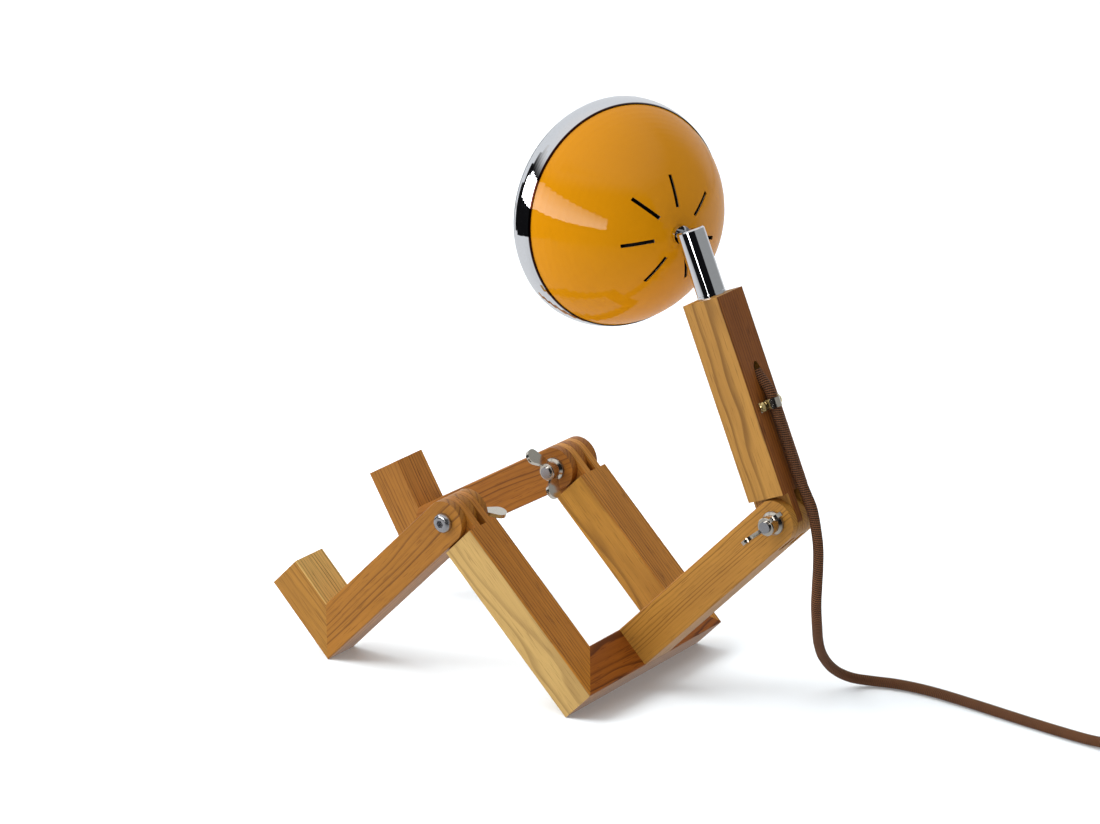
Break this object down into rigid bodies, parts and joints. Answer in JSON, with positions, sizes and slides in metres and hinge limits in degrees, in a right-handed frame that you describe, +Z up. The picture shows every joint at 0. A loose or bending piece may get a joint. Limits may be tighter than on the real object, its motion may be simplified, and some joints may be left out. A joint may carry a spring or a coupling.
{
  "type": "desk lamp",
  "caption": "Desk lamp shaped like a seated robot: square wooden limbs on knuckle joints with wing nuts, a vented bowl head on a chrome neck, and a braided cord.",
  "frame": {"origin": "on the table, below the middle of the lamp's own bounding box, its cord not counted", "axes": "+Z up; the lamp faces -X, so its back and its cord are towards +X; its left side is -Y"},
  "size_m": [0.7576, 0.1936, 0.3992],
  "materials": {
    "wood": "oiled, satin",
    "dowel": "plain",
    "lacquer": "gloss",
    "chrome": "polished",
    "steel": "satin",
    "nylon": "matt",
    "holder": "matt",
    "cap": "satin",
    "opal": "opal white",
    "nickel": "nickel-plated",
    "brass": "polished",
    "braid": "braided",
    "tie": "matt",
    "plug": "semi-gloss",
    "pins": "nickel-plated",
    "rocker": "semi-gloss"
  },
  "bodies": {
    "hips": {"hip_bar": "wood", "left_thigh": "wood", "right_thigh": "wood", "hip_dowels": "dowel", "lower_torso": "wood", "spine_dowels": "dowel", "waist_bolt": "chrome", "waist_washer": "steel", "cord_run": "braid", "cord_to_coil": "braid", "cord_coil": "braid", "cord_tail": "braid", "coil_tie": "tie", "plug_body": "plug", "plug_pins": "pins", "switch_bottom": "plug", "switch_top": "plug"},
    "left_leg": {"left_shin": "wood", "left_foot": "wood", "left_ankle_dowels": "dowel", "left_knee_bolt": "chrome", "left_knee_washer": "steel"},
    "right_leg": {"right_shin": "wood", "right_foot": "wood", "right_ankle_dowels": "dowel", "right_knee_bolt": "chrome", "right_knee_washer": "steel"},
    "torso": {"upper_torso": "wood", "cord_clip": "nickel", "clip_screw": "brass", "neck_collar": "chrome", "cord_in_torso": "braid"},
    "neck": {"neck_tube": "chrome", "neck_cap": "chrome", "ball_seat": "nylon"},
    "head": {"head_stem": "chrome", "stem_nut": "steel", "head_bowl": "lacquer", "head_ring": "chrome", "lamp_holder": "holder", "bulb_base": "cap", "bulb_globe": "opal"},
    "left_wing_nut": {"left_knee_wing_nut": "chrome"},
    "right_wing_nut": {"right_knee_wing_nut": "chrome"},
    "waist_wing_nut": {"waist_wing_nut": "chrome"},
    "rocker": {"switch_rocker": "rocker"}
  },
  "joints": [
    {"name": "left_knee", "type": "hinge", "parent": "hips", "child": "left_leg", "pos_m": [-0.03564, -0.07744, 0.12153], "axis": [0, 1, 0], "range_deg": [-4, 114]},
    {"name": "right_knee", "type": "hinge", "parent": "hips", "child": "right_leg", "pos_m": [-0.03564, 0.05156, 0.12153], "axis": [0, 1, 0], "range_deg": [-18, 100]},
    {"name": "waist", "type": "hinge", "parent": "hips", "child": "torso", "pos_m": [0.18798, -0.01294, 0.14227], "axis": [0, 1, 0], "range_deg": [-26, 90], "deforming": ["cord_run"]},
    {"name": "neck_turn", "type": "hinge", "parent": "torso", "child": "neck", "pos_m": [0.13251, -0.01294, 0.28754], "axis": [-0.3567, 0, 0.9342], "range_deg": [-160, 160]},
    {"name": "head_tilt", "type": "hinge", "parent": "neck", "child": "head", "pos_m": [0.11923, -0.01294, 0.32229], "axis": [0.38, 0.9135, 0.1451], "range_deg": [-28, 30]},
    {"name": "left_wing_nut_turn", "type": "hinge", "parent": "left_leg", "child": "left_wing_nut", "pos_m": [-0.03564, -0.06079, 0.12153], "axis": [0, 1, 0], "continuous": true},
    {"name": "right_wing_nut_turn", "type": "hinge", "parent": "right_leg", "child": "right_wing_nut", "pos_m": [-0.03564, 0.03491, 0.12153], "axis": [0, -1, 0], "continuous": true},
    {"name": "waist_wing_nut_turn", "type": "hinge", "parent": "hips", "child": "waist_wing_nut", "pos_m": [0.18798, -0.02959, 0.14227], "axis": [0, -1, 0], "continuous": true},
    {"name": "rocker_tilt", "type": "hinge", "parent": "hips", "child": "rocker", "pos_m": [0.44498, 0.04406, 0.0111], "axis": [0, 1, 0], "range_deg": [-14, 0]}
  ]
}
